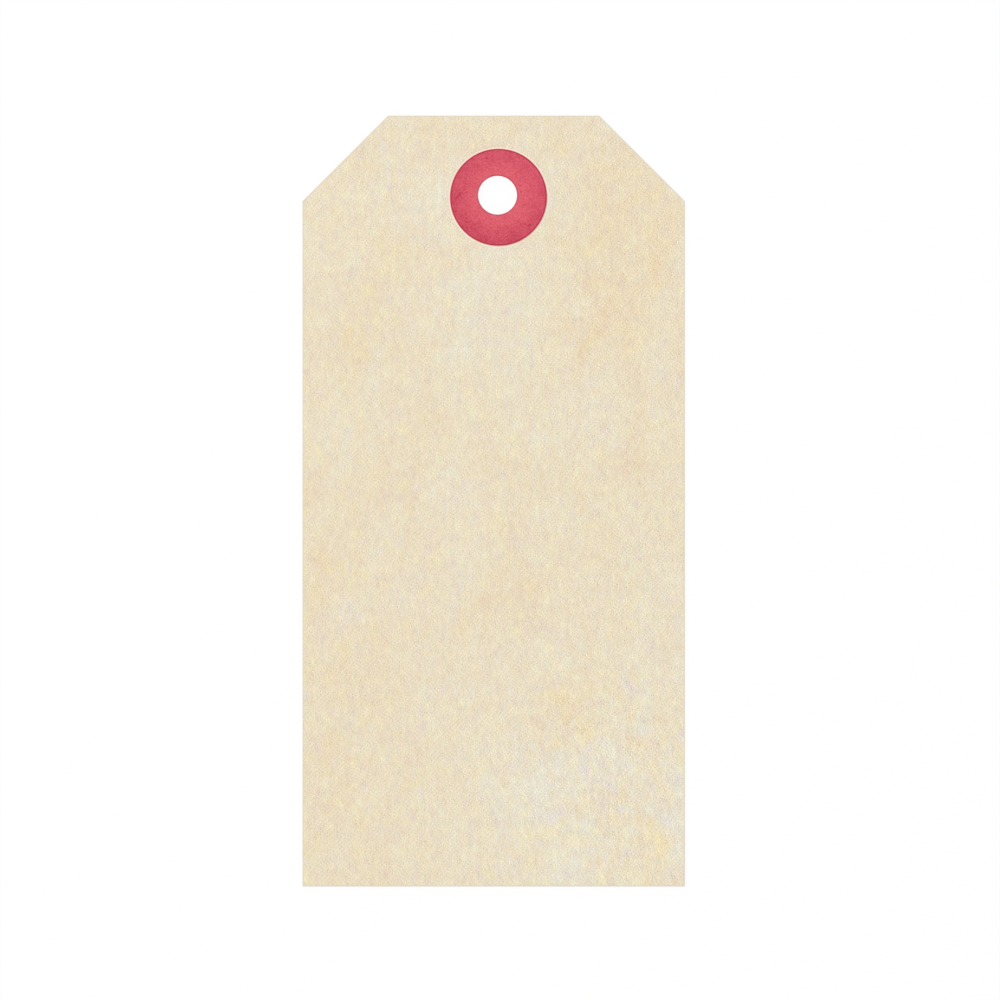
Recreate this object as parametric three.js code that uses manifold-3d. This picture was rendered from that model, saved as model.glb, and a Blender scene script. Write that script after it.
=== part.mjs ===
// A paper shipping tag: a clipped-corner card with a gummed fibre patch stuck on each face,
// and one eyelet punched through the whole stack.
//
// Units are millimetres and +Z is up. The tag lies on its rear face. X runs across the card, Y runs
// along it towards the eyelet, and the origin is under the middle of the card, on the surface
// that the tag lies on.
import * as THREE from "three";
import { mergeVertices } from "three/addons/utils/BufferGeometryUtils.js";
import Module from "manifold-3d";

// The card
const CARD_LENGTH = 120.65;
const CARD_WIDTH = 59.85;
const CARD_THICKNESS = 0.33;
const CORNER_CUT = 13.4; // each leg of the 45 degree clip

// The eyelet, punched a little to the right of the card's centre line
const EYELET_DIAMETER = 6.15;
const EYELET_FROM_TOP = 12.45;
const EYELET_OFF_CENTRE = 0.6;

// The reinforcing patches, one on each face
const PATCH_DIAMETER = 15.2;
const PATCH_THICKNESS = 0.25;
const PATCH_EDGE_RADIUS = 0.08; // the pressed outer edge, on the side away from the card
const GUM_THICKNESS = 0.03;

// How far the patches' centre lies from the eyelet, which is punched after they are stuck on
const PATCH_SHIFT_X = 0.15;
const PATCH_SHIFT_Y = -0.35;

// The shallow seat that the press leaves in the card under each patch
const SEAT_DEPTH = 0.05;
const SEAT_CLEARANCE = 0.05; // from a patch's edge to the foot of the slope round its seat
const SEAT_SLOPE_WIDTH = 0.35;

// How finely the round shapes are cut into flats
const EYELET_SIDES = 72;
const PATCH_SIDES = 96;
const PATCH_EDGE_STEPS = 3;

const CUTTER_OVERSHOOT = 0.5; // how far a cutting shape stands out past what it cuts

// Heights of the stack, from the surface that the tag lies on
const REAR_GUM_Z = PATCH_THICKNESS;
const CARD_Z = REAR_GUM_Z + GUM_THICKNESS - SEAT_DEPTH;
const CARD_FRONT_Z = CARD_Z + CARD_THICKNESS;
const FRONT_GUM_Z = CARD_FRONT_Z - SEAT_DEPTH;
const FRONT_PATCH_Z = FRONT_GUM_Z + GUM_THICKNESS;
const STACK_HEIGHT = FRONT_PATCH_Z + PATCH_THICKNESS;

// Places on the card
const CARD_TOP_Y = CARD_LENGTH / 2;
const CARD_RIGHT_X = CARD_WIDTH / 2;
const EYELET_X = EYELET_OFF_CENTRE;
const EYELET_Y = CARD_TOP_Y - EYELET_FROM_TOP;
const PATCH_X = EYELET_X + PATCH_SHIFT_X;
const PATCH_Y = EYELET_Y + PATCH_SHIFT_Y;
const PATCH_RADIUS = PATCH_DIAMETER / 2;

const wasm = await Module();
wasm.setup();

// A closed three.js geometry as a manifold solid, so that it can be cut.
function toSolid(geometry) {
  const bare = geometry.clone();
  bare.deleteAttribute("normal");
  bare.deleteAttribute("uv");
  const merged = mergeVertices(bare);
  return new wasm.Manifold(
    new wasm.Mesh({
      numProp: 3,
      vertProperties: merged.attributes.position.array,
      triVerts: new Uint32Array(merged.index.array),
    }),
  );
}

// A manifold solid as a three.js geometry with flat faces.
function toGeometry(solid) {
  const { vertProperties, triVerts } = solid.getMesh();
  const indexed = new THREE.BufferGeometry();
  indexed.setAttribute("position", new THREE.BufferAttribute(vertProperties, 3));
  indexed.setIndex(new THREE.BufferAttribute(triVerts, 1));
  const flat = indexed.toNonIndexed();
  flat.computeVertexNormals();
  return flat;
}

// A solid of revolution that stands on z = 0, centred on the patches. Its profile is a list of
// [radius, height] pairs, from the axis at the bottom, round the outside, to the axis at the top.
function turnedOnPatchCentre(profile) {
  const points = profile.map(([radius, height]) => new THREE.Vector2(radius, height));
  const upright = new THREE.LatheGeometry(points, PATCH_SIDES).rotateX(Math.PI / 2);
  return upright.translate(PATCH_X, PATCH_Y, 0);
}

// The same shape turned over: what faced up faces down, and z = 0 stays where it is.
function turnedOver(geometry) {
  return geometry
    .translate(-PATCH_X, -PATCH_Y, 0)
    .rotateX(Math.PI)
    .translate(PATCH_X, PATCH_Y, 0);
}

// The punch that makes the eyelet. It goes through every layer, so their holes line up.
function eyeletPunch() {
  const radius = EYELET_DIAMETER / 2;
  const length = STACK_HEIGHT + 2 * CUTTER_OVERSHOOT;
  const punch = new THREE.CylinderGeometry(radius, radius, length, EYELET_SIDES);
  return punch.rotateX(Math.PI / 2).translate(EYELET_X, EYELET_Y, STACK_HEIGHT / 2);
}

// The card's outline: a rectangle whose two corners are clipped at the eyelet end.
function cardOutline() {
  const outline = new THREE.Shape();
  outline.moveTo(-CARD_RIGHT_X, -CARD_TOP_Y);
  outline.lineTo(CARD_RIGHT_X, -CARD_TOP_Y);
  outline.lineTo(CARD_RIGHT_X, CARD_TOP_Y - CORNER_CUT);
  outline.lineTo(CARD_RIGHT_X - CORNER_CUT, CARD_TOP_Y);
  outline.lineTo(CORNER_CUT - CARD_RIGHT_X, CARD_TOP_Y);
  outline.lineTo(-CARD_RIGHT_X, CARD_TOP_Y - CORNER_CUT);
  outline.closePath();
  return outline;
}

// What the press squeezes out of a face of the card: a flat-bottomed dish with a sloping side.
// It stands on z = 0, which is the bottom of the seat.
function seatCutter() {
  const foot = PATCH_RADIUS + SEAT_CLEARANCE;
  const height = SEAT_DEPTH + CUTTER_OVERSHOOT;
  const rim = foot + (SEAT_SLOPE_WIDTH * height) / SEAT_DEPTH;
  return turnedOnPatchCentre([
    [0, 0],
    [foot, 0],
    [rim, height],
    [0, height],
  ]);
}

function cardGeometry() {
  const blank = new THREE.ExtrudeGeometry(cardOutline(), {
    depth: CARD_THICKNESS,
    bevelEnabled: false,
  });
  const frontSeat = seatCutter().translate(0, 0, FRONT_GUM_Z);
  const rearSeat = turnedOver(seatCutter()).translate(0, 0, CARD_Z + SEAT_DEPTH);
  const card = toSolid(blank.translate(0, 0, CARD_Z))
    .subtract(toSolid(frontSeat))
    .subtract(toSolid(rearSeat))
    .subtract(toSolid(eyeletPunch()));
  return toGeometry(card);
}

// A die-cut disc of fibre board with its gummed side on z = 0. The outer edge of its top is
// rounded by the press.
function patchDisc() {
  const profile = [
    [0, 0],
    [PATCH_RADIUS, 0],
  ];
  const arcRadius = PATCH_RADIUS - PATCH_EDGE_RADIUS;
  const arcHeight = PATCH_THICKNESS - PATCH_EDGE_RADIUS;
  for (let step = 0; step <= PATCH_EDGE_STEPS; step += 1) {
    const angle = (step / PATCH_EDGE_STEPS) * (Math.PI / 2);
    profile.push([
      arcRadius + PATCH_EDGE_RADIUS * Math.cos(angle),
      arcHeight + PATCH_EDGE_RADIUS * Math.sin(angle),
    ]);
  }
  profile.push([0, PATCH_THICKNESS]);
  return turnedOnPatchCentre(profile);
}

// The layer of gum between a patch and the card, standing on z = 0.
function gumFilm() {
  return turnedOnPatchCentre([
    [0, 0],
    [PATCH_RADIUS, 0],
    [PATCH_RADIUS, GUM_THICKNESS],
    [0, GUM_THICKNESS],
  ]);
}

function punched(geometry) {
  return toGeometry(toSolid(geometry).subtract(toSolid(eyeletPunch())));
}

const manila = new THREE.MeshStandardMaterial({ color: "#eadec3", roughness: 0.85, metalness: 0 });
const redFibre = new THREE.MeshStandardMaterial({ color: "#d75a69", roughness: 0.7, metalness: 0 });
const driedGum = new THREE.MeshStandardMaterial({ color: "#d9b98a", roughness: 0.4, metalness: 0 });

function piece(name, geometry, material) {
  const mesh = new THREE.Mesh(geometry, material);
  mesh.name = name;
  return mesh;
}

const frontPatch = patchDisc().translate(0, 0, FRONT_PATCH_Z);
const frontGum = gumFilm().translate(0, 0, FRONT_GUM_Z);
const rearPatch = turnedOver(patchDisc()).translate(0, 0, PATCH_THICKNESS);
const rearGum = gumFilm().translate(0, 0, REAR_GUM_Z);

const tag = new THREE.Group();
tag.add(piece("tag_card", cardGeometry(), manila));
tag.add(piece("front_patch", punched(frontPatch), redFibre));
tag.add(piece("front_patch_gum", punched(frontGum), driedGum));
tag.add(piece("rear_patch", punched(rearPatch), redFibre));
tag.add(piece("rear_patch_gum", punched(rearGum), driedGum));

export default tag;
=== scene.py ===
# A paper shipping tag, seen from straight above: a die-cut manila card with a red fibre patch gummed
# on each face and one eyelet punched through the whole stack.
#
# Everything is in metres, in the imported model's own frame. The sizes are read from its nodes, and
# each piece made here stands for one of them.
import math

import bmesh
import bpy
from bpy.props import FloatProperty, FloatVectorProperty, IntProperty, PointerProperty
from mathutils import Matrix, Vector, noise
from mathutils.geometry import delaunay_2d_cdt


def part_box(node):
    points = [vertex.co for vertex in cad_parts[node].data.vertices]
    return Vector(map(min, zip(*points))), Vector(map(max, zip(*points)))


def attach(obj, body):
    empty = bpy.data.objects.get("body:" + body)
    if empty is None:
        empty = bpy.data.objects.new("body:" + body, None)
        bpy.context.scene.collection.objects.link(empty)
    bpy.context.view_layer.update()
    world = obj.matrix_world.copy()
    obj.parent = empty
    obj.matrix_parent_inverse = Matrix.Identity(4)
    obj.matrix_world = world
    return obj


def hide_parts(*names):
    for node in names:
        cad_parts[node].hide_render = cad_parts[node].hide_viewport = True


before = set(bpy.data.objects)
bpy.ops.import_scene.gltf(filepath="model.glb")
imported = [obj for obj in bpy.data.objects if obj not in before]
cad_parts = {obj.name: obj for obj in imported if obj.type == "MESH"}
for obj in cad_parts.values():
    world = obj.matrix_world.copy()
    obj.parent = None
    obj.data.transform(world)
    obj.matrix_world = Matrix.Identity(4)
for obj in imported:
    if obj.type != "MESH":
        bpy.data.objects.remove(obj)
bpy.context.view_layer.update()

bl_info = {
    "name": "Paper Tag",
    "version": (1, 0, 0),
    "blender": (4, 5, 0),
    "location": "3D View > Sidebar > Paper Tag",
    "description": "Makes a manila shipping tag with gummed fibre patches round its eyelet",
    "category": "Add Mesh",
}

MM = 0.001
# A gap too small to matter
TINY = 1e-6

# What the CAD's nodes say about the tag
CARD_LOW, CARD_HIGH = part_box("tag_card")
FRONT_PATCH_LOW, FRONT_PATCH_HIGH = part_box("front_patch")
FRONT_GUM_LOW, FRONT_GUM_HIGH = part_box("front_patch_gum")
REAR_PATCH_LOW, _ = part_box("rear_patch")
PATCH_CENTRE = ((FRONT_PATCH_LOW + FRONT_PATCH_HIGH) / 2).xy
PATCH_RADIUS = (FRONT_PATCH_HIGH.x - FRONT_PATCH_LOW.x) / 2
# The two faces mirror each other about half of this height
STACK_HEIGHT = FRONT_PATCH_HIGH.z + REAR_PATCH_LOW.z


def corners_of(node):
    """The corners of a CAD node's triangles."""
    return [vertex.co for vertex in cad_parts[node].data.vertices]


def patch_reach(point):
    """How far a point is from the patches' middle, seen from above."""
    return (point.xy - PATCH_CENTRE).length


def limits(points):
    """The least and the greatest place, across and along, that some points reach."""
    return [Vector((pick(p.x for p in points), pick(p.y for p in points))) for pick in (min, max)]


# How near the patches' middle the card has its seat's corners, and the gum its eyelet's
SEAT_REACH = 1.5 * PATCH_RADIUS
EYELET_REACH = 0.7 * PATCH_RADIUS
CARD_CORNERS = corners_of("tag_card")
CORNER_CUT = CARD_HIGH.x - max(p.x for p in CARD_CORNERS if p.y > CARD_HIGH.y - TINY)
SEAT_CORNERS = [p for p in CARD_CORNERS if patch_reach(p) < SEAT_REACH]
SEAT_FOOT = max(patch_reach(p) for p in SEAT_CORNERS if abs(p.z - FRONT_GUM_LOW.z) < TINY)
SEAT_RIM = min(patch_reach(p) for p in SEAT_CORNERS if abs(p.z - CARD_HIGH.z) < TINY)
EYELET_LOW, EYELET_HIGH = limits(
    [p for p in corners_of("front_patch_gum") if patch_reach(p) < EYELET_REACH]
)

# The soft areas that light and handling have toned: across, along, half width and half length in mm,
# and the tone, from -1 for ochre to 1 for bleached
TONED_AREAS = (
    (17, 37, 6, 11, -0.36),
    (23, 49, 8, 9, -0.26),
    (-27, 30, 7, 6, -0.06),
    (-16, 23, 8, 6, -0.16),
    (-15, 38, 4, 4, -0.12),
    (-28, 0, 5, 6, -0.18),
    (-28, -14, 4, 4, -0.24),
    (2.5, -13, 4, 7, -0.4),
    (21, 7, 7, 5, -0.28),
    (-15, -3, 4, 5, -0.18),
    (19, 28, 6, 5, -0.2),
    (-6, 58, 9, 4, -0.14),
    (-23, -27, 9, 6, -0.2),
    (-24, -39, 6, 6, -0.3),
    (-18, -53, 8, 6, -0.2),
    (11, -32, 5, 5, -0.24),
    (28, -21, 3, 5, -0.2),
    (1, 36, 9, 10, 0.34),
    (-9, 46, 7, 6, 0.14),
    (-7, -2, 4, 7, 0.16),
    (-13, -13, 3, 7, 0.12),
    (-25, 16, 3, 5, 0.1),
    (9, -46, 6, 5, 0.4),
    (16, -38, 4, 4, -0.2),
    (1, -46, 4, 4, 0.24),
    (12, -57, 5, 5, 0.3),
    (28, -53, 4, 6, 0.24),
    (16, 13, 6, 6, 0.2),
    (2, -35, 6, 6, 0.36),
    (-3, -54, 8, 5, 0.1),
    (28, -12, 3, 9, 0.14),
    (24, -23, 4, 11, 0.2),
    (22, -42, 6, 9, 0.16),
)
# Where the sized surface is worn through to cool pulp, or has stayed whole, laid out the same way
WORN_AREAS = (
    (9, -41.5, 3, 2.5, 0.1),
    (17.5, -42.5, 2.5, 4, 0.2),
    (11.5, -48.5, 4, 2, 0.28),
    (28, -48, 3, 2.5, 0.2),
    (29.5, -55, 2, 4, 0.14),
    (22.5, -34.5, 2, 3, 0.2),
    (9.5, -58.5, 2.5, 2, 0.2),
    (24.5, -53, 2, 4, -0.38),
    (7, -53, 4, 4, -0.2),
    (-5, -44.5, 3, 3.5, -0.08),
    (16, -38, 2, 2, -0.22),
    (22.5, -42, 2, 2.5, -0.22),
    (-0.5, -34, 2, 2, -0.2),
)
# The one stretch where rubbing has roused the fibres
RUBBED_AREAS = ((18, -46, 16, 20, 1),)
# How far the areas' edges wander, and over what distance, in mm
AREA_WANDER = 2.5
AREA_WANDER_SPACING = 5.0
# The seed of their wander, without which each run would give another
AREA_WANDER_SEED = 39


def linear(hex_colour):
    """An sRGB hex colour as linear red, green and blue."""
    parts = [int(hex_colour[start:start + 2], 16) / 255 for start in (1, 3, 5)]
    return [p / 12.92 if p <= 0.04045 else ((p + 0.055) / 1.055) ** 2.4 for p in parts]


def towards(angle):
    """The direction at this angle, anticlockwise from across the card."""
    return Vector((math.cos(angle), math.sin(angle)))


def distance(name, description, default):
    """A length property."""
    return FloatProperty(
        name=name, description=description, default=default, min=0.0, unit="LENGTH", precision=5
    )


def position(name, description, default):
    """A property for a place on the card's face."""
    return FloatVectorProperty(
        name=name, description=description, default=default, size=2, unit="LENGTH", precision=5
    )


def paint(name, description, hex_colour):
    """A colour property."""
    return FloatVectorProperty(
        name=name, description=description, default=linear(hex_colour), min=0, max=1, subtype="COLOR"
    )


class TagCardSizes(bpy.types.PropertyGroup):
    """Sizes of the die-cut card."""

    width: distance("Width", "Across the card", CARD_HIGH.x - CARD_LOW.x)
    length: distance("Length", "Along the card", CARD_HIGH.y - CARD_LOW.y)
    rear_height: distance("Rear Height", "From the table to the card's rear face", CARD_LOW.z)
    thickness: distance("Thickness", "Thickness of the tag stock", CARD_HIGH.z - CARD_LOW.z)
    corner_cut: distance("Corner Cut", "Each leg of the clipped corners", CORNER_CUT)
    corner_radius: distance("Corner Radius", "Rounding where two cuts meet", 0.12 * MM)
    edge_radius: distance("Edge Radius", "Rounding that the knife leaves on a cut edge", 0.05 * MM)
    seat_depth: distance(
        "Seat Depth", "How deep the patches are pressed in", CARD_HIGH.z - FRONT_GUM_LOW.z
    )
    seat_foot: distance("Seat Foot", "Radius of the seat's flat bottom", SEAT_FOOT)
    seat_rim: distance("Seat Rim", "Radius where the seat meets the face", SEAT_RIM)
    cockle_height: distance("Cockle Height", "Height of the card's slight waves", 0.03 * MM)
    cockle_spacing: distance("Cockle Spacing", "Width of those waves", 25 * MM)
    felt_height: distance("Felt Height", "Height of the press felt's mark", 0.006 * MM)
    felt_spacing: distance("Felt Spacing", "Width of the felt's mark", 2.5 * MM)
    mesh_spacing: distance("Mesh Spacing", "Distance between the mesh's points", 0.9 * MM)


class TagPatchSizes(bpy.types.PropertyGroup):
    """Sizes of the patches, their gum and the eyelet."""

    centre: position("Centre", "Middle of the patches", PATCH_CENTRE)
    radius: distance("Radius", "Radius of the patches", PATCH_RADIUS)
    thickness: distance("Thickness", "Thickness of a patch", FRONT_PATCH_HIGH.z - FRONT_PATCH_LOW.z)
    edge_radius: distance("Edge Radius", "Rounding of the pressed rim", 0.14 * MM)
    punch_roll: distance("Punch Roll", "How far the punch draws down the eyelet's edge", 0.025 * MM)
    punch_swell: distance("Punch Swell", "How far the cut fibre swells into the eyelet", 0.03 * MM)
    gum_thickness: distance("Gum Thickness", "Thickness of the gum", FRONT_GUM_HIGH.z - FRONT_GUM_LOW.z)
    eyelet_centre: position(
        "Eyelet Centre", "Middle of the punched eyelet", (EYELET_LOW + EYELET_HIGH) / 2
    )
    eyelet_radius: distance(
        "Eyelet Radius", "Radius of the punched eyelet", (EYELET_HIGH.x - EYELET_LOW.x) / 2
    )
    relief_height: distance("Relief Height", "Height of the fibre's unevenness", 0.004 * MM)
    relief_spacing: distance("Relief Spacing", "Width of that unevenness", 1.2 * MM)
    sides: IntProperty(name="Sides", description="Steps round a patch", default=192, min=24)


class TagColours(bpy.types.PropertyGroup):
    """Colours of the tag."""

    stock: paint("Stock", "The tag stock's mean colour", "#EBDEC3")
    # Partly the cut's own grey on its wall, partly painted shade along the rounded edge on the faces
    cut_edge: paint("Cut Edge", "The card's cut edge, greyed by handling", "#E2D8C4")
    # Partly painted light: paler than the crushed stock alone, it lifts the shade that the patch's wall
    # casts on the slope
    seat_slope: paint("Seat Slope", "Stock that the press has crushed pale", "#FFFCEE")
    patch_inner: paint("Patch Inner", "The patch near the eyelet", "#DC5666")
    patch_outer: paint("Patch Outer", "The patch near its rim", "#CD4459")
    # The knocks' colour, and painted shade in lines inside the rim and at the eyelet
    patch_knock_and_shade: paint("Patch Line", "The line burnished inside the rim", "#AC1634")
    # Partly painted light: paler than the fibre's cut alone, it lifts the shade on the rounded rim
    patch_core_and_light: paint("Patch Core", "The paler fibre at the rim's cut", "#FFB0AC")
    gum: paint("Gum", "The dried gum", "#D9B98A")


class TagStageSizes(bpy.types.PropertyGroup):
    """Where the tag is seen from and how it is lit."""

    frame_width: distance("Frame Width", "Width of the view on the card's face", 156.49 * MM)
    view_centre: position("View Centre", "Middle of the view", (0.985 * MM, 0.165 * MM))
    sky_share: FloatProperty(
        name="Sky Share", description="Share of the light from all round", default=0.85, min=0, max=1
    )


MATH = "ShaderNodeMath"
VECTOR = "ShaderNodeVectorMath"
NOISE = "ShaderNodeTexNoise"
MIX = "ShaderNodeMix"
RANGE = "ShaderNodeMapRange"
MAPPING = "ShaderNodeMapping"
SET_POSITION = "GeometryNodeSetPosition"

# The kind of input that a tree has for each kind of value
INPUT_KINDS = {float: "Float", int: "Int", tuple: "Vector", bpy.types.Material: "Material"}
# How far from its middle a noise goes, at most
NOISE_REACH = 0.25
# An edge between two faces is sharp from this angle on
SHARP_ANGLE = math.radians(50)


def add(tree, kind, inputs=(), **settings):
    """Adds a node with its settings, and returns its first output that is in use.

    The inputs are given in order or by name, each as a value or as another node's output."""
    node = tree.nodes.new(kind)
    for name, value in settings.items():
        setattr(node, name, value)
    sockets = [socket for socket in node.inputs if socket.enabled]
    given = inputs if isinstance(inputs, dict) else dict(enumerate(inputs))
    for key, value in given.items():
        socket = sockets[key] if isinstance(key, int) else next(s for s in sockets if s.name == key)
        if isinstance(value, bpy.types.NodeSocket):
            tree.links.new(value, socket)
        elif socket.type == "RGBA" and len(value) == 3:
            socket.default_value = (*value, 1)
        else:
            socket.default_value = value
    return next((socket for socket in node.outputs if socket.enabled), None)


def new_tree(name, values):
    """An empty Geometry Nodes tree with an input for each value, and the outputs that give them."""
    tree = bpy.data.node_groups.new(name, "GeometryNodeTree")
    tree.interface.new_socket("Geometry", in_out="INPUT", socket_type="NodeSocketGeometry")
    for label, value in values.items():
        kind = f"NodeSocket{INPUT_KINDS[type(value)]}"
        tree.interface.new_socket(label, in_out="INPUT", socket_type=kind)
    tree.interface.new_socket("Geometry", in_out="OUTPUT", socket_type="NodeSocketGeometry")
    return tree, tree.nodes.new("NodeGroupInput").outputs


def finish_tree(tree, geometry, material):
    """Ends a tree: smooth shading but for sharp edges, no instances left, and the material."""
    smooth = add(tree, "GeometryNodeSetShadeSmooth", {"Geometry": geometry})
    angle = add(tree, "GeometryNodeInputMeshEdgeAngle")
    is_sharp = add(tree, "FunctionNodeCompare", (angle, SHARP_ANGLE), operation="GREATER_THAN")
    creased = add(
        tree,
        "GeometryNodeSetShadeSmooth",
        {"Geometry": smooth, "Selection": is_sharp, "Shade Smooth": False},
        domain="EDGE",
    )
    plain = add(tree, "GeometryNodeRealizeInstances", {"Geometry": creased})
    dressed = add(tree, "GeometryNodeSetMaterial", {"Geometry": plain, "Material": material})
    add(tree, "NodeGroupOutput", {"Geometry": dressed})


def new_object(name, data):
    """A new object in the scene."""
    made = bpy.data.objects.new(name, data)
    bpy.context.scene.collection.objects.link(made)
    return made


def make_piece(name, mesh, tree, values, node):
    """Makes a piece in place of a CAD node: a mesh run through a tree with these values, then plain."""
    piece = new_object(name, mesh)
    modifier = piece.modifiers.new(tree.name, "NODES")
    modifier.node_group = tree
    for item in tree.interface.items_tree:
        if item.in_out == "INPUT" and item.name in values:
            modifier[item.identifier] = values[item.name]
    depsgraph = bpy.context.evaluated_depsgraph_get()
    plain = bpy.data.meshes.new_from_object(piece.evaluated_get(depsgraph), depsgraph=depsgraph)
    piece.modifiers.clear()
    piece.data = plain
    plain.name = name
    bpy.data.meshes.remove(mesh)
    check_closed(plain)
    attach(piece, "root")
    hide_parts(node)


def check_closed(mesh):
    """Stops with an error if a mesh has an open or twisted edge, or faces inwards."""
    shape = bmesh.new()
    shape.from_mesh(mesh)
    bad_edges = sum(not edge.is_contiguous for edge in shape.edges)
    volume = shape.calc_volume(signed=True)
    shape.free()
    if bad_edges or volume <= 0:
        raise RuntimeError(f"{mesh.name} has {bad_edges} bad edges and a volume of {volume}")


# The card

CORNER_STEPS = 4
EDGE_STEPS = 3
EYELET_POINTS = 96
SEAT_POINTS = 192
SEAT_STEPS = 5
# Loops of points that keep a rounding's shading off the face beside it: how far they lie inside each
# cut, inside the seat's foot and outside its rim, in mm
CUT_GUARDS = (0.1, 0.3)
FOOT_GUARD = 0.1
RIM_GUARDS = (0.1, 0.5)
# The least gap between those loops and the points in the open, in mm
OPEN_GAP = 0.75
# How far towards the patch the seat's pale line, partly painted light, lies from the middle of its
# slope, in mm
SLOPE_SHIFT = 0.08
# What the mesh tells the material about each of its points
CARD_MARKS = ("front_face", "cut_edge", "seat_slope", "toning", "rubbing", "wear")


def card_corners(card):
    """The card's six corners in mm, anticlockwise, before they are rounded."""
    right = card.width / 2 / MM
    top = card.length / 2 / MM
    cut = card.corner_cut / MM
    lower = [(-right, -top), (right, -top)]
    upper = [(right, top - cut), (right - cut, top), (cut - right, top), (-right, top - cut)]
    return [Vector(corner) for corner in lower + upper]


def outline_loop(corners, corner_radius, inset, spacing):
    """Points anticlockwise round a convex outline, this far inside it, with rounded corners."""
    points = []
    reach = max(corner_radius, inset)
    befores = corners[-1:] + corners[:-1]
    afters = corners[1:] + corners[:1]
    for before, corner, after in zip(befores, corners, afters):
        incoming = (corner - before).normalized()
        outgoing = (after - corner).normalized()
        start = math.atan2(-incoming.x, incoming.y)
        turn = incoming.angle(outgoing)
        normals = Vector((incoming.y + outgoing.y, -incoming.x - outgoing.x))
        centre = corner - normals * (reach / (1 + incoming.dot(outgoing)))
        steps = CORNER_STEPS if corner_radius > inset else 0
        for step in range(steps + 1):
            angle = start + turn * step / max(steps, 1)
            points.append(centre + towards(angle) * (reach - inset))
    loop = []
    for point, after in zip(points, points[1:] + points[:1]):
        pieces = max(1, round((after - point).length / spacing))
        loop += [point.lerp(after, step / pieces) for step in range(pieces)]
    return loop


def ring(centre, radius, count):
    """Points anticlockwise round a circle."""
    return [centre + towards(2 * math.pi * step / count) * radius for step in range(count)]


def inside_gap(corners, point):
    """How far a point is inside a convex outline."""
    sides = zip(corners, corners[1:] + corners[:1])
    return min((after - corner).normalized().cross(point - corner) for corner, after in sides)


def staggered_points(corners, spacing):
    """A grid of points in even-sided triangles, as far as an outline reaches."""
    low, high = limits(corners)
    size = high - low
    rows = round(size.y / (spacing * math.sqrt(0.75)))
    columns = round(size.x / spacing)
    points = []
    for row in range(1, rows):
        shift = 0.25 + 0.5 * (row % 2)
        for column in range(columns):
            points.append(low + Vector(((column + shift) / columns, row / rows)) * size)
    return points


def rounding_drop(inset, radius):
    """How far a rounded edge lies under the face, this far inside the cut."""
    return radius - math.sqrt(radius**2 - max(radius - inset, 0) ** 2)


def smooth_step(low, high, value):
    """From 0 to 1 as the value goes from low to high, level at both ends."""
    share = min(max((value - low) / (high - low), 0.0), 1.0)
    return share * share * (3 - 2 * share)


def strength(areas, point):
    """How strongly some soft areas act together at a point. Each acts most in its middle."""
    total = 0.0
    for across, along, half_width, half_length, most in areas:
        gap = ((point.x - across) / half_width) ** 2 + ((point.y - along) / half_length) ** 2
        total += most * math.exp(-gap)
    return total


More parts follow.
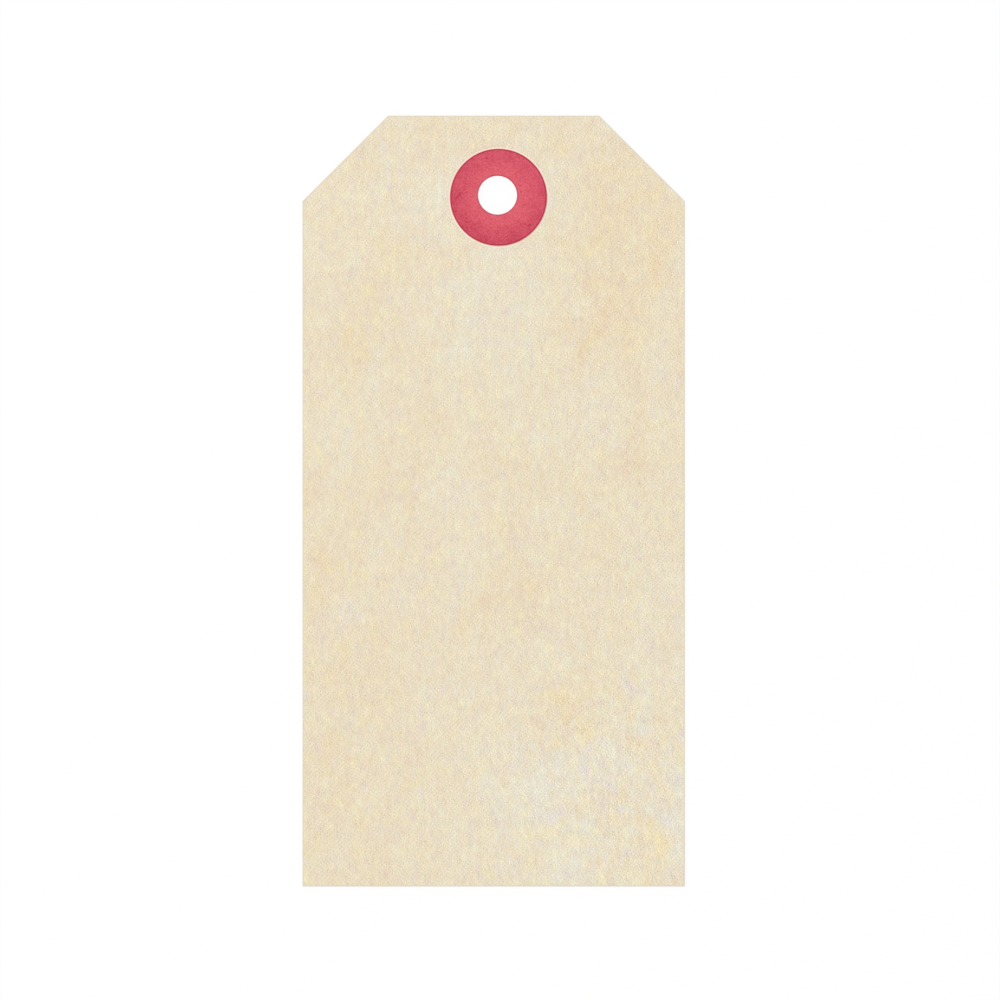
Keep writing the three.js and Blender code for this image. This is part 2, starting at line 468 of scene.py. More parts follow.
def card_mesh(card, patch):
    """The card as a closed mesh in metres: one set of triangles for each face, joined at the cuts."""
    corners = card_corners(card)
    patch_centre = Vector(patch.centre) / MM
    eyelet_centre = Vector(patch.eyelet_centre) / MM
    eyelet_radius = patch.eyelet_radius / MM
    edge_radius = card.edge_radius / MM
    foot = card.seat_foot / MM
    rim = card.seat_rim / MM
    spacing = card.mesh_spacing / MM

    points = []
    insets = []
    edges = []

    def add_loop(loop, inset):
        first = len(points)
        points.extend(loop)
        insets.extend([inset] * len(loop))
        edges.extend((first + k, first + (k + 1) % len(loop)) for k in range(len(loop)))

    quarter = math.pi / 2 / EDGE_STEPS
    edge_insets = [edge_radius * (1 - math.cos(quarter * step)) for step in range(EDGE_STEPS + 1)]
    for inset in (*edge_insets, *CUT_GUARDS):
        add_loop(outline_loop(corners, card.corner_radius / MM, inset, spacing), inset)
        add_loop(ring(eyelet_centre, eyelet_radius + inset, EYELET_POINTS), inset)
    # Any other point counts as this far inside every cut
    far = 2 * rim
    slope_radii = [foot + (rim - foot) * step / SEAT_STEPS for step in range(SEAT_STEPS + 1)]
    guard_radii = [rim + gap for gap in RIM_GUARDS]
    for radius in (foot - FOOT_GUARD, *slope_radii, *guard_radii):
        add_loop(ring(patch_centre, radius, SEAT_POINTS), far)

    def is_open(point):
        if inside_gap(corners, point) < OPEN_GAP:
            return False
        from_patch = (point - patch_centre).length
        if foot - OPEN_GAP < from_patch < max(guard_radii) + OPEN_GAP:
            return False
        return (point - eyelet_centre).length > eyelet_radius + OPEN_GAP

    points += filter(is_open, staggered_points(corners, spacing))
    insets += [far] * (len(points) - len(insets))

    flat, _, triangles, sources, _, _ = delaunay_2d_cdt(points, edges, [], 1, TINY)
    inset_at = [insets[source[0]] for source in sources]
    middles = [sum((flat[k] for k in ids), Vector((0, 0))) / 3 for ids in triangles]
    triangles = [
        ids
        for ids, middle in zip(triangles, middles)
        if (middle - eyelet_centre).length > eyelet_radius
    ]

    rear_height = card.rear_height / MM
    front_height = rear_height + card.thickness / MM
    places = []
    marks = []
    noise.seed_set(AREA_WANDER_SEED)
    for is_front in (True, False):
        for point, inset in zip(flat, inset_at):
            from_patch = (point - patch_centre).length
            drop = rounding_drop(inset, edge_radius)
            drop += card.seat_depth / MM * (1 - smooth_step(foot, rim, from_patch))
            height = front_height - drop if is_front else rear_height + drop
            places.append(Vector((point.x, point.y, height)) * MM)
            on_slope = smooth_step(foot - SLOPE_SHIFT, rim - SLOPE_SHIFT, from_patch)
            # 1 half way up the slope, and 0 at its ends: where the crushed stock is palest and its
            # painted light strongest
            paleness = 4 * on_slope * (1 - on_slope)
            # The rear face is toned like the front one turned half round
            spot = (point if is_front else -point).to_3d()
            spot += noise.noise_vector(spot / AREA_WANDER_SPACING) * AREA_WANDER
            marks.append(
                (
                    float(is_front),
                    1 - smooth_step(0, max(CUT_GUARDS), inset),
                    paleness,
                    strength(TONED_AREAS, spot),
                    strength(RUBBED_AREAS, spot),
                    strength(WORN_AREAS, spot),
                )
            )

    count = len(flat)
    faces = [tuple(ids) for ids in triangles]
    faces += [tuple(count + k for k in reversed(ids)) for ids in triangles]
    sides = {(ids[k], ids[(k + 1) % 3]) for ids in triangles for k in range(3)}
    for start, end in sorted(sides):
        if (end, start) not in sides:
            faces.append((start, count + start, count + end, end))

    mesh = bpy.data.meshes.new("card_sheet")
    mesh.from_pydata(places, [], faces)
    for name, column in zip(CARD_MARKS, zip(*marks)):
        mesh.attributes.new(name, "FLOAT", "POINT").data.foreach_set("value", column)
    return mesh


def paper_relief_tree(values):
    """A tree that gives a flat sheet its slight waves and the mark of the press felt."""
    tree, given = new_tree("Paper relief", values)
    place = add(tree, "GeometryNodeInputPosition")
    on_sheet = add(tree, VECTOR, (place, (1, 1, 0)), operation="MULTIPLY")
    height = 0.0
    # Both faces share the cockles, and each has its own felt mark
    for name, spot in (("Cockle", on_sheet), ("Felt", place)):
        scale = add(tree, MATH, (1.0, given[f"{name} Spacing"]), operation="DIVIDE")
        waves = add(
            tree,
            NOISE,
            {"Vector": spot, "W": given["Seed"], "Scale": scale, "Detail": 1.0},
            noise_dimensions="4D",
        )
        centred = add(tree, MATH, (waves, 0.5), operation="SUBTRACT")
        full = add(tree, MATH, (given[f"{name} Height"], 1 / NOISE_REACH), operation="MULTIPLY")
        height = add(tree, MATH, (centred, full, height), operation="MULTIPLY_ADD")
    gap = add(tree, VECTOR, (on_sheet, given["Flat Centre"]), operation="DISTANCE")
    faded = add(tree, MATH, (given["Flat Radius"], 2.0), operation="MULTIPLY")
    share = add(tree, RANGE, (gap, given["Flat Radius"], faded), interpolation_type="SMOOTHSTEP")
    lift = add(tree, MATH, (height, share), operation="MULTIPLY")
    offset = add(tree, "ShaderNodeCombineXYZ", {"Z": lift})
    moved = add(tree, SET_POSITION, {"Geometry": given["Geometry"], "Offset": offset})
    finish_tree(tree, moved, given["Material"])
    return tree


class TAG_OT_card(bpy.types.Operator):
    """Make the die-cut card"""

    bl_idname = "paper_tag.card"
    bl_label = "Card"

    def execute(self, context):
        card = context.scene.tag_card
        patch = context.scene.tag_patch
        values = {
            "Cockle Height": card.cockle_height,
            "Cockle Spacing": card.cockle_spacing,
            "Felt Height": card.felt_height,
            "Felt Spacing": card.felt_spacing,
            "Flat Centre": (*patch.centre, 0.0),
            "Flat Radius": card.seat_rim,
            "Seed": 3.0,
            "Material": manila_tag_stock(context.scene.tag_colours),
        }
        tree = paper_relief_tree(values)
        sheet = card_mesh(card, patch)
        make_piece("manila_card", sheet, tree, values, "tag_card")
        return {"FINISHED"}


# The patches and their gum

# How far across the disc, from the eyelet to the rim, the section has points on its flat faces
FACE_SHARES = (0.12, 0.24, 0.36, 0.48, 0.6, 0.72, 0.84, 0.93)
ROUNDING_STEPS = 4
# How far inside the rim's rounding a point keeps its shading off the face
ROUNDING_GUARD = 0.1 * MM
# The edge that the punch draws down, from the top to the eyelet: how far outside the eyelet and how far
# under the top each point lies, in punch rolls
ROLLED_EDGE = ((8, 0), (4, 0.1), (2, 0.3), (0.7, 0.7))
# The wall from there down: how far each point stands into the eyelet, as a share of the swell, and its
# height, as a share of the thickness
SWOLLEN_WALL = ((0.3, 0.86), (0.9, 2 / 3), (1, 0.5), (0.5, 0))
# How far the gum's outer edge bulges, as a share of its thickness
GUM_BULGE = 0.4


def patch_section(patch, low):
    """A patch's wall section: share across the disc, offset outwards and height of each point."""
    high = low + patch.thickness
    radius = patch.edge_radius
    section = [(share, 0, low) for share in (*FACE_SHARES, 1)]
    section.append((1, 0, (low + high) / 2))
    for step in range(ROUNDING_STEPS + 1):
        angle = math.pi / 2 * step / ROUNDING_STEPS
        section.append((1, radius * (math.cos(angle) - 1), high + radius * (math.sin(angle) - 1)))
    section.append((1, -radius - ROUNDING_GUARD, high))
    section += [(share, 0, high) for share in reversed(FACE_SHARES[1:])]
    for outward, drop in ROLLED_EDGE:
        section.append((0, outward * patch.punch_roll, high - drop * patch.punch_roll))
    for inward, share in SWOLLEN_WALL:
        section.append((0, -inward * patch.punch_swell, low + share * patch.thickness))
    return section


def gum_section(patch, low):
    """The gum's wall section, laid out the same way: a flat film whose outer edge bulges a little."""
    high = low + patch.gum_thickness
    shares = (0, *FACE_SHARES, 1)
    section = [(share, 0, low) for share in shares]
    section.append((1, GUM_BULGE * patch.gum_thickness, (low + high) / 2))
    section += [(share, 0, high) for share in reversed(shares)]
    return section


def punched_disc_tree(values):
    """A tree that sweeps a wall section round a disc, stretched from the eyelet to the rim."""
    tree, given = new_tree("Punched disc", values)
    section = given["Geometry"]
    sides = given["Sides"]
    place = add(tree, "GeometryNodeInputPosition")

    # One row of the grid for each step round the disc, one column for each point of the section
    points = add(tree, "GeometryNodeAttributeDomainSize", {"Geometry": section})
    rows = add(tree, MATH, (sides, 1.0), operation="ADD")
    columns = add(tree, MATH, (points, 1.0), operation="ADD")
    grid = add(tree, "GeometryNodeMeshGrid", {"Vertices X": rows, "Vertices Y": columns})
    index = add(tree, "GeometryNodeInputIndex")
    column = add(tree, MATH, (index, columns), operation="MODULO")
    row_start = add(tree, MATH, (index, column), operation="SUBTRACT")
    row = add(tree, MATH, (row_start, columns), operation="DIVIDE")
    section_index = add(tree, MATH, (column, points), operation="MODULO")
    wrapped_row = add(tree, MATH, (row, sides), operation="MODULO")
    turn = add(tree, MATH, (wrapped_row, sides), operation="DIVIDE")
    angle = add(tree, MATH, (turn, 2 * math.pi), operation="MULTIPLY")
    section_point = add(
        tree,
        "GeometryNodeSampleIndex",
        {"Geometry": section, "Value": place, "Index": section_index},
        data_type="FLOAT_VECTOR",
    )
    share, outset, height = add(tree, "ShaderNodeSeparateXYZ", (section_point,)).node.outputs
    cosine = add(tree, MATH, (angle,), operation="COSINE")
    sine = add(tree, MATH, (angle,), operation="SINE")
    outward = add(tree, "ShaderNodeCombineXYZ", (cosine, sine, 0.0))

    # From the disc's middle to the eyelet's edge, which lies off centre
    off_centre = add(tree, VECTOR, (given["Eyelet Centre"], given["Centre"]), operation="SUBTRACT")
    along = add(tree, VECTOR, (off_centre, outward), operation="DOT_PRODUCT")
    beside = add(tree, VECTOR, (off_centre, outward), operation="CROSS_PRODUCT")
    beside_squared = add(tree, VECTOR, (beside, beside), operation="DOT_PRODUCT")
    eyelet_squared = add(tree, MATH, (given["Eyelet Radius"], 2.0), operation="POWER")
    chord_squared = add(tree, MATH, (eyelet_squared, beside_squared), operation="SUBTRACT")
    half_chord = add(tree, MATH, (chord_squared,), operation="SQRT")
    inner = add(tree, MATH, (along, half_chord), operation="ADD")

    width = add(tree, MATH, (given["Radius"], inner), operation="SUBTRACT")
    bare_reach = add(tree, MATH, (share, width, inner), operation="MULTIPLY_ADD")
    reach = add(tree, MATH, (bare_reach, outset), operation="ADD")
    flat = add(tree, VECTOR, (outward, reach, given["Centre"]), operation="MULTIPLY_ADD")
    rise = add(tree, "ShaderNodeCombineXYZ", (0.0, 0.0, height))
    spot = add(tree, VECTOR, (flat, rise), operation="ADD")
    placed = add(tree, SET_POSITION, {"Geometry": grid, "Position": spot})
    closed = add(tree, "GeometryNodeMergeByDistance", {"Geometry": placed, "Distance": TINY / 10})

    # The relief thins the sheet here and there, and never thickens it
    box = add(tree, "GeometryNodeBoundBox", {"Geometry": section}).node.outputs
    ends = add(tree, VECTOR, (box["Min"], box["Max"]), operation="ADD")
    span = add(tree, VECTOR, (box["Max"], box["Min"]), operation="SUBTRACT")
    from_middle = add(tree, VECTOR, (place, (-2, -2, -2), ends), operation="MULTIPLY_ADD")
    inward = add(tree, VECTOR, (from_middle, span), operation="DIVIDE")
    scale = add(tree, MATH, (1.0, given["Relief Spacing"]), operation="DIVIDE")
    bumps = add(
        tree, NOISE, {"W": given["Seed"], "Scale": scale, "Detail": 2.0}, noise_dimensions="4D"
    )
    depth = add(tree, MATH, (bumps, given["Relief Height"]), operation="MULTIPLY")
    upright = add(tree, "ShaderNodeCombineXYZ", {"Z": depth})
    offset = add(tree, VECTOR, (inward, upright), operation="MULTIPLY")
    moved = add(tree, SET_POSITION, {"Geometry": closed, "Offset": offset})
    finish_tree(tree, moved, given["Material"])
    return tree


def disc_values(patch, relief_height, material):
    """What the tree is given for the patches or for their gum."""
    return {
        "Centre": (*patch.centre, 0.0),
        "Radius": patch.radius,
        "Eyelet Centre": (*patch.eyelet_centre, 0.0),
        "Eyelet Radius": patch.eyelet_radius,
        "Sides": patch.sides,
        "Relief Height": relief_height,
        "Relief Spacing": patch.relief_spacing,
        "Seed": 0.0,
        "Material": material,
    }


def make_discs(section, values, name, node):
    """Makes a disc in front of the card from a wall section, and the same turned over behind it."""
    tree = punched_disc_tree(values)
    turned_over = [(share, offset, STACK_HEIGHT - height) for share, offset, height in section[::-1]]
    for seed, side, wall in ((0.0, "front", section), (1.0, "rear", turned_over)):
        mesh = bpy.data.meshes.new("wall_section")
        mesh.from_pydata(wall, [], [])
        seeded = {**values, "Seed": seed}
        make_piece(f"{side}_{name}", mesh, tree, seeded, f"{side}_{node}")


class TAG_OT_patches(bpy.types.Operator):
    """Make the fibre patch on each face"""

    bl_idname = "paper_tag.patches"
    bl_label = "Patches"

    def execute(self, context):
        patch = context.scene.tag_patch
        section = patch_section(patch, FRONT_PATCH_LOW.z)
        material = red_patch_fibre(context.scene.tag_colours, patch)
        values = disc_values(patch, patch.relief_height, material)
        make_discs(section, values, "fibre_patch", "patch")
        return {"FINISHED"}


class TAG_OT_gum(bpy.types.Operator):
    """Make the film of gum under each patch"""

    bl_idname = "paper_tag.gum"
    bl_label = "Gum"

    def execute(self, context):
        patch = context.scene.tag_patch
        section = gum_section(patch, FRONT_GUM_LOW.z)
        values = disc_values(patch, 0.0, dried_gum(context.scene.tag_colours))
        make_discs(section, values, "gum_film", "patch_gum")
        return {"FINISHED"}


# Materials

# How deep a relief goes where its height changes by 1
RELIEF_DEPTH = 0.02 * MM
PAPER_IOR = 1.5
GUM_IOR = 1.48


def new_material(name):
    """A material and its empty node tree."""
    material = bpy.data.materials.new(name)
    material.use_nodes = True
    material.node_tree.nodes.clear()
    return material, material.node_tree


def finish_paper(tree, colour, height, grain, roughness):
    """Ends a paper's material: its relief from a height, and its roughness, which the grain varies."""
    relief = add(
        tree, "ShaderNodeBump", {"Strength": 1.0, "Distance": RELIEF_DEPTH, "Height": height}
    )
    rough = add(tree, RANGE, (grain, *roughness))
    inputs = {"Base Color": colour, "Roughness": rough, "IOR": PAPER_IOR, "Normal": relief}
    shader = add(tree, "ShaderNodeBsdfPrincipled", inputs)
    add(tree, "ShaderNodeOutputMaterial", {"Surface": shader})


def tint(low, high):
    """The step from one sRGB hex colour to another, in linear red, green and blue."""
    return Vector(linear(high)) - Vector(linear(low))


def mottle(tree, place, shift, widest, halvings, stretch):
    """Blotches about 0.5: read this far aside, with this widest blotch, smaller ones, and a stretch."""
    spot = add(
        tree, MAPPING, {"Vector": place, "Location": (shift, 0, 0), "Scale": (1, 1 / stretch, 1)}
    )
    return add(
        tree, NOISE, {"Vector": spot, "Scale": 1 / widest, "Detail": halvings, "Roughness": 1.0}
    )


# The stock where it is ochre and where it is bleached
TONES = ("#EAD2AA", "#EAEADC")
# What mottles the stock: the tints at a noise's two ends, how far aside it is read, so that no two
# match, its widest blotch, both in mm, how often that halves, and how many times longer than wide it
# is, because fibres lie mostly along the card
PULPS = (
    # Clouds of unbleached and bleached pulp
    ("#EAD2AC", "#EAE9DA", 0, 8.0, 3, 1.8),
    # Flecks of yellow and grey-blue rag
    ("#F1E6BE", "#E3D5C8", 11, 1.4, 1, 1.65),
    # Single fibres, from green to rose
    ("#E6E0C1", "#EDDBC4", 22, 0.72, 1, 1.6),
    # Strands pressed flat, from dark to light
    ("#E1D3B7", "#F4E9CE", 33, 0.8, 1, 2.0),
)
# The worn areas, from whole to worn through, laid out the same way
WORN_PULP = ("#EEDDB6", "#E3E1DA", 63, 2.5, 1, 1.4)
# The fibres that rubbing has roused: their tint, their width and length in mm, how far they lean from
# upright in degrees, how far their noise is bent, where in it one starts to show and shows whole, and
# how many show on the whole card and in the rubbed area
ROUSED_TINTS = ("#E6DABE", "#F0EAD8")
ROUSED_FIBRE = (0.3, 1.5, -24.0)
ROUSED_BEND = 0.7
ROUSED_RANGE = (0.58, 0.74)
ROUSED_SHARES = (0.05, 0.32)
# The painted shade and light of the felt's tooth, and its grain in mm across and along the card. It is
# finer in fact, and drawn as fine as the view shows.
TOOTH_TINTS = ("#CFC6A1", "#FEF5D9")
TOOTH_GRAIN = (0.185, 0.22)
# Each fleck of the tooth is painted with a lit side and a shaded side beside it, as though lit from the
# side: the direction from one to the other in degrees, and how far along it each lies in mm and how
# strong it is
TOOTH_SLANT = 14.0
TOOTH_SIDES = ((0.0, 0.82), (0.24, -0.35))
# The tooth's painted light and shade grows stronger to the right: how much it gains per mm to the right
TOOTH_LEAN = 0.0035
# How much more mottled the rubbed area is, and how much stronger its tooth
RUBBED_GAIN = 0.3
RUBBED_TOOTH = 0.1
# The forming wire's two sets of ridges: their spacing in mm, their direction in degrees, and their
# strength beside the tooth's
WIRE_RIDGES = ((0.537, -46.0, 0.039), (0.408, 198.0, 0.022))
# How a noise is steepened, so that its strongest flecks stand out: what is kept of it, and what is
# added per square of its distance from its middle
STEEPNESS = (0.86, 7.0)
# How far apart in mm the two faces lie in the noise, so that they don't match
FACE_GAP = 40.0
# The plies that show as lines on a cut edge, and how strong the lines are beside the tooth
PLIES = 4
PLY_DEPTH = 0.15
# How rough the stock is: the tooth's noise from nought to one, and the roughness at each end
STOCK_ROUGHNESS = (0.0, 1.0, 0.8, 0.9)


def steepened(tree, flecks):
    """A noise set about nought, with its strongest flecks made stronger."""
    centred = add(tree, MATH, (flecks, 0.5), operation="SUBTRACT")
    square = add(tree, MATH, (centred, centred), operation="MULTIPLY")
    kept, added = STEEPNESS
    weight = add(tree, MATH, (square, added, kept), operation="MULTIPLY_ADD")
    return add(tree, MATH, (centred, weight), operation="MULTIPLY")


def manila_tag_stock(colours):
    """Manila tag stock: plies of wood pulp pressed together, part of it unbleached. It gives a matt
    cream face with a soft upright mottle, the felt's fine tooth and the forming wire's slanting mark."""
    material, tree = new_material("manila_tag_stock")
    marks = {
        name: add(tree, "ShaderNodeAttribute", attribute_name=name).node.outputs["Fac"]
        for name in CARD_MARKS
    }
    place = add(tree, "ShaderNodeTexCoord").node.outputs["Object"]
    in_mm = add(tree, MAPPING, {"Vector": place, "Scale": [1 / MM] * 3})
    across, along, _ = add(tree, "ShaderNodeSeparateXYZ", (in_mm,)).node.outputs
    face = add(tree, MATH, (marks["front_face"], FACE_GAP), operation="MULTIPLY")
    sheet = add(tree, "ShaderNodeCombineXYZ", (across, along, face))

    tone = tint(*TONES) / 2
    colour = add(tree, VECTOR, (marks["toning"], tone, colours.stock), operation="MULTIPLY_ADD")
    gain = add(tree, MATH, (marks["rubbing"], RUBBED_GAIN, 1.0), operation="MULTIPLY_ADD")
    layers = [(pulp, gain, 0.0) for pulp in PULPS]
    layers.append((WORN_PULP, marks["rubbing"], marks["wear"]))
    for (low, high, *blotch), factor, base in layers:
        flecks = steepened(tree, mottle(tree, sheet, *blotch))
        amount = add(tree, MATH, (flecks, factor, base), operation="MULTIPLY_ADD")
        colour = add(tree, VECTOR, (amount, tint(low, high), colour), operation="MULTIPLY_ADD")

    width, length, lean = ROUSED_FIBRE
    turned = add(tree, MAPPING, {"Vector": sheet, "Rotation": (0, 0, math.radians(lean))})
    spot = add(tree, MAPPING, {"Vector": turned, "Scale": (1 / width, 1 / length, 1)})
    fibres = add(
        tree, NOISE, {"Vector": spot, "Scale": 1.0, "Detail": 0.0, "Distortion": ROUSED_BEND}
    )
    shown = add(tree, RANGE, (fibres, *ROUSED_RANGE), interpolation_type="SMOOTHSTEP")
    everywhere, where_rubbed = ROUSED_SHARES
    share = add(tree, MATH, (marks["rubbing"], where_rubbed, everywhere), operation="MULTIPLY_ADD")
    roused = add(tree, MATH, (shown, share), operation="MULTIPLY")
    colour = add(tree, VECTOR, (roused, tint(*ROUSED_TINTS), colour), operation="MULTIPLY_ADD")

    tooth = 0.0
    grain_scale = (1 / TOOTH_GRAIN[0], 1 / TOOTH_GRAIN[1], 1)
    slant = towards(math.radians(TOOTH_SLANT)).to_3d()
    for shift, share in TOOTH_SIDES:
        moved = add(tree, VECTOR, (sheet, slant * shift), operation="ADD")
        spot = add(tree, MAPPING, {"Vector": moved, "Scale": grain_scale})
        grain = add(tree, NOISE, {"Vector": spot, "Scale": 1.0, "Detail": 0.0})
        tooth = add(tree, MATH, (steepened(tree, grain), share, tooth), operation="MULTIPLY_ADD")
    pressed = add(tree, MATH, (across, TOOTH_LEAN, 1.0), operation="MULTIPLY_ADD")
    roughened = add(tree, MATH, (marks["rubbing"], RUBBED_TOOTH, pressed), operation="MULTIPLY_ADD")
    tooth = add(tree, MATH, (tooth, roughened), operation="MULTIPLY")
    for spacing, direction, share in WIRE_RIDGES:
        wave = towards(math.radians(direction)).to_3d() * (2 * math.pi / spacing)
        phase = add(tree, VECTOR, (sheet, wave), operation="DOT_PRODUCT")
        ridges = add(tree, MATH, (phase,), operation="SINE")
        tooth = add(tree, MATH, (ridges, share, tooth), operation="MULTIPLY_ADD")
    # The tooth's flecks in painted light and shade, with the wire's ridges
    colour = add(tree, VECTOR, (tooth, tint(*TOOTH_TINTS), colour), operation="MULTIPLY_ADD")

    # Painted shade along the rounded cut edges on the faces, and the cut's own grey on the wall
    colour = add(tree, MIX, (marks["cut_edge"], colour, colours.cut_edge), data_type="RGBA")
    # The seat's slope: stock crushed pale, with painted light that lifts the patch wall's shade
    colour = add(tree, MIX, (marks["seat_slope"], colour, colours.seat_slope), data_type="RGBA")
    # On a cut edge this runs through the plies, and on the faces it is nought
    depth = add(tree, MATH, (marks["front_face"], 2 * math.pi * PLIES), operation="MULTIPLY")
    lines = add(tree, MATH, (depth,), operation="SINE")
    plies = add(tree, MATH, (lines, PLY_DEPTH), operation="MULTIPLY")
    colour = add(tree, VECTOR, (plies, tint(*TOOTH_TINTS), colour), operation="MULTIPLY_ADD")
    uncut = add(tree, MATH, (1.0, marks["cut_edge"]), operation="SUBTRACT")
    height = add(tree, MATH, (tooth, uncut, plies), operation="MULTIPLY_ADD")
    finish_paper(tree, colour, height, grain, STOCK_ROUGHNESS)
    return material


# The fibre's clouds and its grain, laid out as the pulps. The grain is finer in fact, and drawn as fine
# as the view shows.
FIBRE_CLOUDS = ("#CC4F5E", "#E26574", 7, 2.2, 1, 1)
FIBRE_GRAIN = ("#C04352", "#EE7180", 0, 0.18, 0, 1)
# Painted light: the fibre is paler towards its upper right, as if lit from there: how many of the
# grain's tints per mm across and along
FIBRE_LIGHT_LEAN = (0.0101, 0.0122, 0)
# How far from its middle the patch's paler part starts to fade and has faded, in mm
FIBRE_FADE = (3.4, 7.3)
# The knocks in the front patch: both ends of each from the patch's middle and its half width, in mm,
# and its strength
KNOCKS = (
    (-1.85, 6.10, -1.85, 6.11, 0.26, 0.95),
    (4.85, -4.36, 4.91, -4.36, 0.34, 1.0),
    (3.53, 0.86, 3.53, 0.87, 0.24, 0.75),
    (3.37, 1.79, 3.37, 1.80, 0.24, 0.65),
    (-6.70, -0.30, -5.95, 0.60, 0.22, 0.8),
)
# Painted shade in lines where the rounded edges of the eyelet and of the rim turn away: how far from its
# middle each ends and is whole, in mm, and its strength. The eyelet's lies at the cut, and the rim's
# this far inside it, in mm.
EYELET_SHADE_LINE = (0.24, 0.0, 0.45)
RIM_SHADE_LINE = (0.13, 0.03, 1.0)
RIM_SHADE_INSET = 0.15
# The paler fibre of the rim's cut, painted paler still as light that lifts the rounded rim's shade,
# starts this far inside it and is whole this far outside, in mm
RIM_CORE_AND_LIGHT = (0.07, 0.02)
# How rough the fibre is: the ends of its grain, and the roughness at each
FIBRE_ROUGHNESS = (-0.5, 0.5, 0.6, 0.75)


def red_patch_fibre(colours, patch):
    """Vulcanised fibre, dyed red and die-cut. It gives a smooth, slightly cloudy red, paler round the
    eyelet and, in painted light, towards the upper right, with painted shade in lines inside the rim and
    at the eyelet, a paler cut edge that is partly painted light, and a few knocks."""
    material, tree = new_material("red_patch_fibre")
    rim = patch.radius / MM
    place = add(tree, "ShaderNodeTexCoord").node.outputs["Object"]
    moved = add(tree, VECTOR, (place, (*patch.centre, 0)), operation="SUBTRACT")
    in_mm = add(tree, MAPPING, {"Vector": moved, "Scale": [1 / MM] * 3})
    flat = add(tree, VECTOR, (in_mm, (1, 1, 0)), operation="MULTIPLY")
    radius = add(tree, VECTOR, (flat,), operation="LENGTH")

    fade = add(tree, RANGE, (radius, *FIBRE_FADE), interpolation_type="SMOOTHSTEP")
    colour = add(tree, MIX, (fade, colours.patch_inner, colours.patch_outer), data_type="RGBA")
    # Painted light from the upper right
    lean = add(tree, VECTOR, (flat, FIBRE_LIGHT_LEAN), operation="DOT_PRODUCT")
    colour = add(tree, VECTOR, (lean, tint(*FIBRE_GRAIN[:2]), colour), operation="MULTIPLY_ADD")
    for low, high, *blotch in (FIBRE_CLOUDS, FIBRE_GRAIN):
        grain = add(tree, MATH, (mottle(tree, in_mm, *blotch), 0.5), operation="SUBTRACT")
        colour = add(tree, VECTOR, (grain, tint(low, high), colour), operation="MULTIPLY_ADD")

    _, _, height = add(tree, "ShaderNodeSeparateXYZ", (in_mm,)).node.outputs
    is_front = add(tree, MATH, (height, STACK_HEIGHT / 2 / MM), operation="GREATER_THAN")
    knocked = 0.0
    for start_x, start_y, end_x, end_y, half_width, most in KNOCKS:
        start = Vector((start_x, start_y, 0))
        way = Vector((end_x, end_y, 0)) - start
        from_start = add(tree, VECTOR, (flat, start), operation="SUBTRACT")
        share = add(tree, VECTOR, (from_start, way / way.length_squared), operation="DOT_PRODUCT")
        held = add(tree, "ShaderNodeClamp", (share,))
        nearest = add(tree, VECTOR, (held, way), operation="MULTIPLY")
        gap = add(tree, VECTOR, (from_start, nearest), operation="DISTANCE")
        knock = add(tree, RANGE, (gap, half_width, 0.0, 0.0, most), interpolation_type="SMOOTHSTEP")
        knocked = add(tree, MATH, (knocked, knock), operation="MAXIMUM")
    knocked = add(tree, MATH, (knocked, is_front), operation="MULTIPLY")

    off_centre = (Vector(patch.eyelet_centre) - Vector(patch.centre)).to_3d() / MM
    eyelet_reach = add(tree, VECTOR, (flat, off_centre), operation="DISTANCE")
    eyelet_gap = add(tree, MATH, (eyelet_reach, patch.eyelet_radius / MM), operation="SUBTRACT")
    inside_rim = add(tree, MATH, (radius, rim - RIM_SHADE_INSET), operation="SUBTRACT")
    rim_gap = add(tree, MATH, (inside_rim,), operation="ABSOLUTE")
    # The knocks, and painted shade in lines at the eyelet's cut and inside the rim
    knocked_and_shaded = knocked
    for gap, ended, whole, most in ((eyelet_gap, *EYELET_SHADE_LINE), (rim_gap, *RIM_SHADE_LINE)):
        line = add(tree, RANGE, (gap, ended, whole, 0.0, most), interpolation_type="SMOOTHSTEP")
        knocked_and_shaded = add(tree, MATH, (knocked_and_shaded, line), operation="MAXIMUM")
    colour = add(tree, MIX, (knocked_and_shaded, colour, colours.patch_knock_and_shade), data_type="RGBA")
    # The rim's paler cut, partly painted light over the rounding's shade
    inside, outside = RIM_CORE_AND_LIGHT
    core_and_light = add(tree, RANGE, (radius, rim - inside, rim + outside))
    colour = add(tree, MIX, (core_and_light, colour, colours.patch_core_and_light), data_type="RGBA")

    height = add(tree, MATH, (grain, knocked), operation="SUBTRACT")
    finish_paper(tree, colour, height, grain, FIBRE_ROUGHNESS)
    return material


# The gum's streaks: their width in mm, how much of its colour is left where they are darkest, and how
# rough it is where palest and where darkest
GUM_STREAK = 0.8
GUM_SHADE = 0.7
GUM_ROUGHNESS = (0.3, 0.5)


def dried_gum(colours):
    """Dried dextrin gum, brushed on and pressed. It gives a thin, glossy, amber line."""
    material, tree = new_material("dried_gum")
    place = add(tree, "ShaderNodeTexCoord").node.outputs["Object"]
    streaks = add(tree, NOISE, {"Vector": place, "Scale": 1 / (GUM_STREAK * MM), "Detail": 2.0})
    darker = [GUM_SHADE * part for part in colours.gum]
    colour = add(tree, MIX, (streaks, colours.gum, darker), data_type="RGBA")
    rough = add(tree, RANGE, (streaks, 0.0, 1.0, *GUM_ROUGHNESS))
    inputs = {"Base Color": colour, "Roughness": rough, "IOR": GUM_IOR}
    shader = add(tree, "ShaderNodeBsdfPrincipled", inputs)
    add(tree, "ShaderNodeOutputMaterial", {"Surface": shader})
    return material


# The stage

# How much of the floor's white the camera sees whatever falls on it. The rest keeps the tag's shadow.
FLOOR_GLOW = 0.92
# How far the floor reaches from the tag, in metres
FLOOR_REACH = 2.0
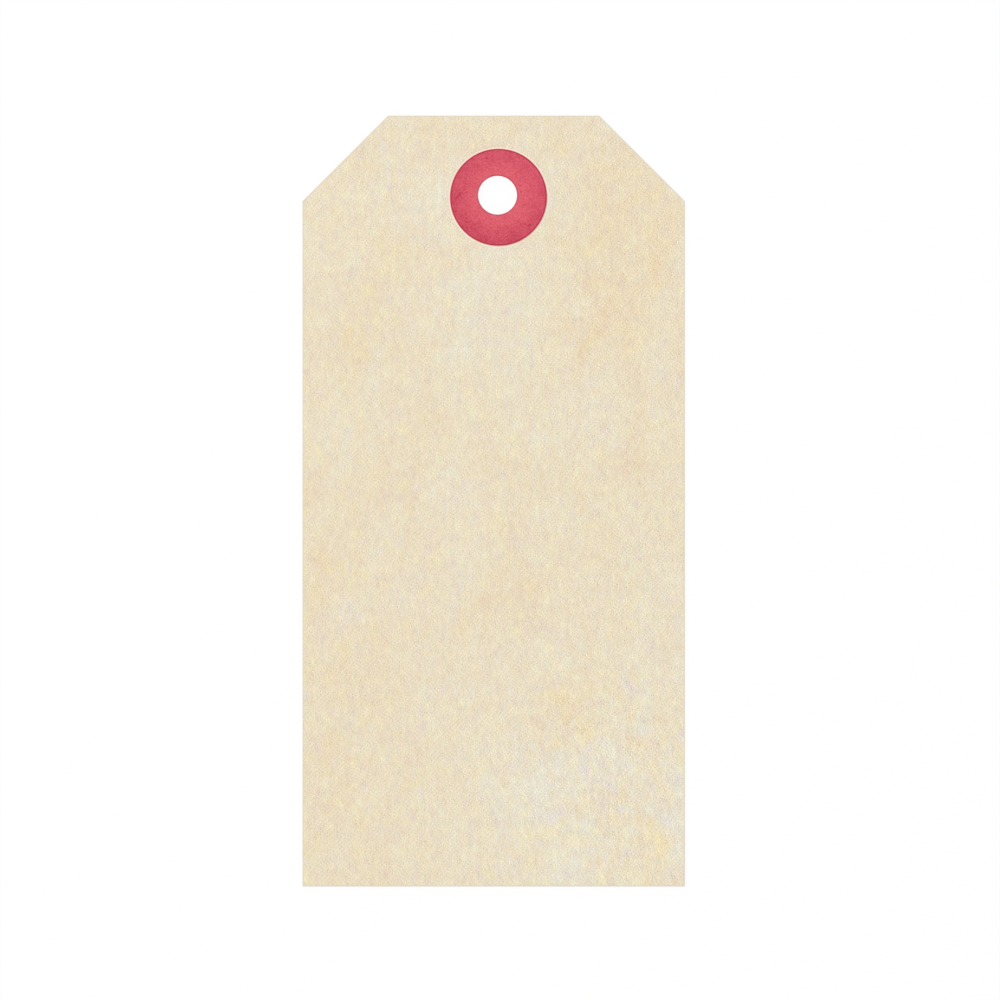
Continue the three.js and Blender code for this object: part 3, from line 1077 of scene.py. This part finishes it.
# The camera's focal length in mm
CAMERA_LENS = 135.0
# Where the lamp stands and how wide it is, in metres
KEY_PLACE = Vector((-0.8, 0.8, 1.1))
KEY_SIZE = 0.9


def seen_white(tree):
    """How much a surface or the sky is plain white: 1 to the camera and in reflections, else 0."""
    path = add(tree, "ShaderNodeLightPath").node.outputs
    seen = path["Is Camera Ray"]
    for ray in ("Is Glossy Ray", "Is Transmission Ray"):
        seen = add(tree, MATH, (seen, path[ray]), operation="MAXIMUM")
    return seen


def make_sky(level):
    """Even light from all round, which the camera sees as white."""
    world = bpy.data.worlds.new("studio_sky")
    bpy.context.scene.world = world
    world.use_nodes = True
    tree = world.node_tree
    tree.nodes.clear()
    even = add(tree, "ShaderNodeBackground", {"Color": (1, 1, 1), "Strength": level})
    white = add(tree, "ShaderNodeBackground", {"Color": (1, 1, 1), "Strength": 1.0})
    sky = add(tree, "ShaderNodeMixShader", (seen_white(tree), even, white))
    add(tree, "ShaderNodeOutputWorld", {"Surface": sky})


def matt_white_floor():
    """Matt white card under the tag. It looks white and keeps a faint shadow."""
    material, tree = new_material("matt_white_floor")
    matt = add(tree, "ShaderNodeBsdfDiffuse", {"Color": (1, 1, 1)})
    glow = add(tree, "ShaderNodeEmission", {"Color": (1, 1, 1), "Strength": 1.0})
    share = add(tree, MATH, (seen_white(tree), FLOOR_GLOW), operation="MULTIPLY")
    surface = add(tree, "ShaderNodeMixShader", (share, matt, glow))
    add(tree, "ShaderNodeOutputMaterial", {"Surface": surface})
    return material


class TAG_OT_stage(bpy.types.Operator):
    """Make the floor, the light and the camera"""

    bl_idname = "paper_tag.stage"
    bl_label = "Stage"

    def execute(self, context):
        scene = context.scene
        stage = scene.tag_stage
        scene.view_settings.view_transform = "Standard"
        make_sky(stage.sky_share)

        reach = FLOOR_REACH
        mesh = bpy.data.meshes.new("floor")
        corners = [(-reach, -reach, 0), (reach, -reach, 0), (reach, reach, 0), (-reach, reach, 0)]
        mesh.from_pydata(corners, [], [(0, 1, 2, 3)])
        mesh.materials.append(matt_white_floor())
        floor = new_object("floor", mesh)

        lamp = bpy.data.lights.new("key", "AREA")
        lamp.shape = "DISK"
        lamp.size = KEY_SIZE
        # A matt face square to +Z under this lamp alone would render at its share of its colour
        slant = KEY_PLACE.z / KEY_PLACE.length
        lamp.energy = (1 - stage.sky_share) * math.pi**2 * KEY_PLACE.length_squared / slant
        key = new_object("key", lamp)
        key.location = KEY_PLACE
        key.rotation_euler = KEY_PLACE.to_track_quat("Z", "Y").to_euler()

        lens = bpy.data.cameras.new("camera")
        lens.lens = CAMERA_LENS
        scene.camera = new_object("camera", lens)
        height = CARD_HIGH.z + stage.frame_width * lens.lens / lens.sensor_width
        scene.camera.location = (*stage.view_centre, height)
        return {"FINISHED"}


class TAG_PT_panel(bpy.types.Panel):
    """The tag's pieces in the order that they are made, and their sizes and colours"""

    bl_label = "Paper Tag"
    bl_space_type = "VIEW_3D"
    bl_region_type = "UI"
    bl_category = "Paper Tag"

    def draw(self, context):
        for piece in PIECES:
            self.layout.operator(piece.bl_idname)
        for key, group in SETTINGS.items():
            box = self.layout.box()
            for name in group.__annotations__:
                box.prop(getattr(context.scene, key), name)


SETTINGS = {
    "tag_card": TagCardSizes,
    "tag_patch": TagPatchSizes,
    "tag_colours": TagColours,
    "tag_stage": TagStageSizes,
}
PIECES = (TAG_OT_card, TAG_OT_patches, TAG_OT_gum, TAG_OT_stage)
CLASSES = (*SETTINGS.values(), *PIECES, TAG_PT_panel)


def register():
    for made in CLASSES:
        bpy.utils.register_class(made)
    for name, group in SETTINGS.items():
        setattr(bpy.types.Scene, name, PointerProperty(type=group))


def unregister():
    for name in SETTINGS:
        delattr(bpy.types.Scene, name)
    for made in reversed(CLASSES):
        bpy.utils.unregister_class(made)


def main():
    register()
    bpy.ops.paper_tag.card()
    bpy.ops.paper_tag.patches()
    bpy.ops.paper_tag.gum()
    bpy.ops.paper_tag.stage()


if __name__ == "__main__":
    main()
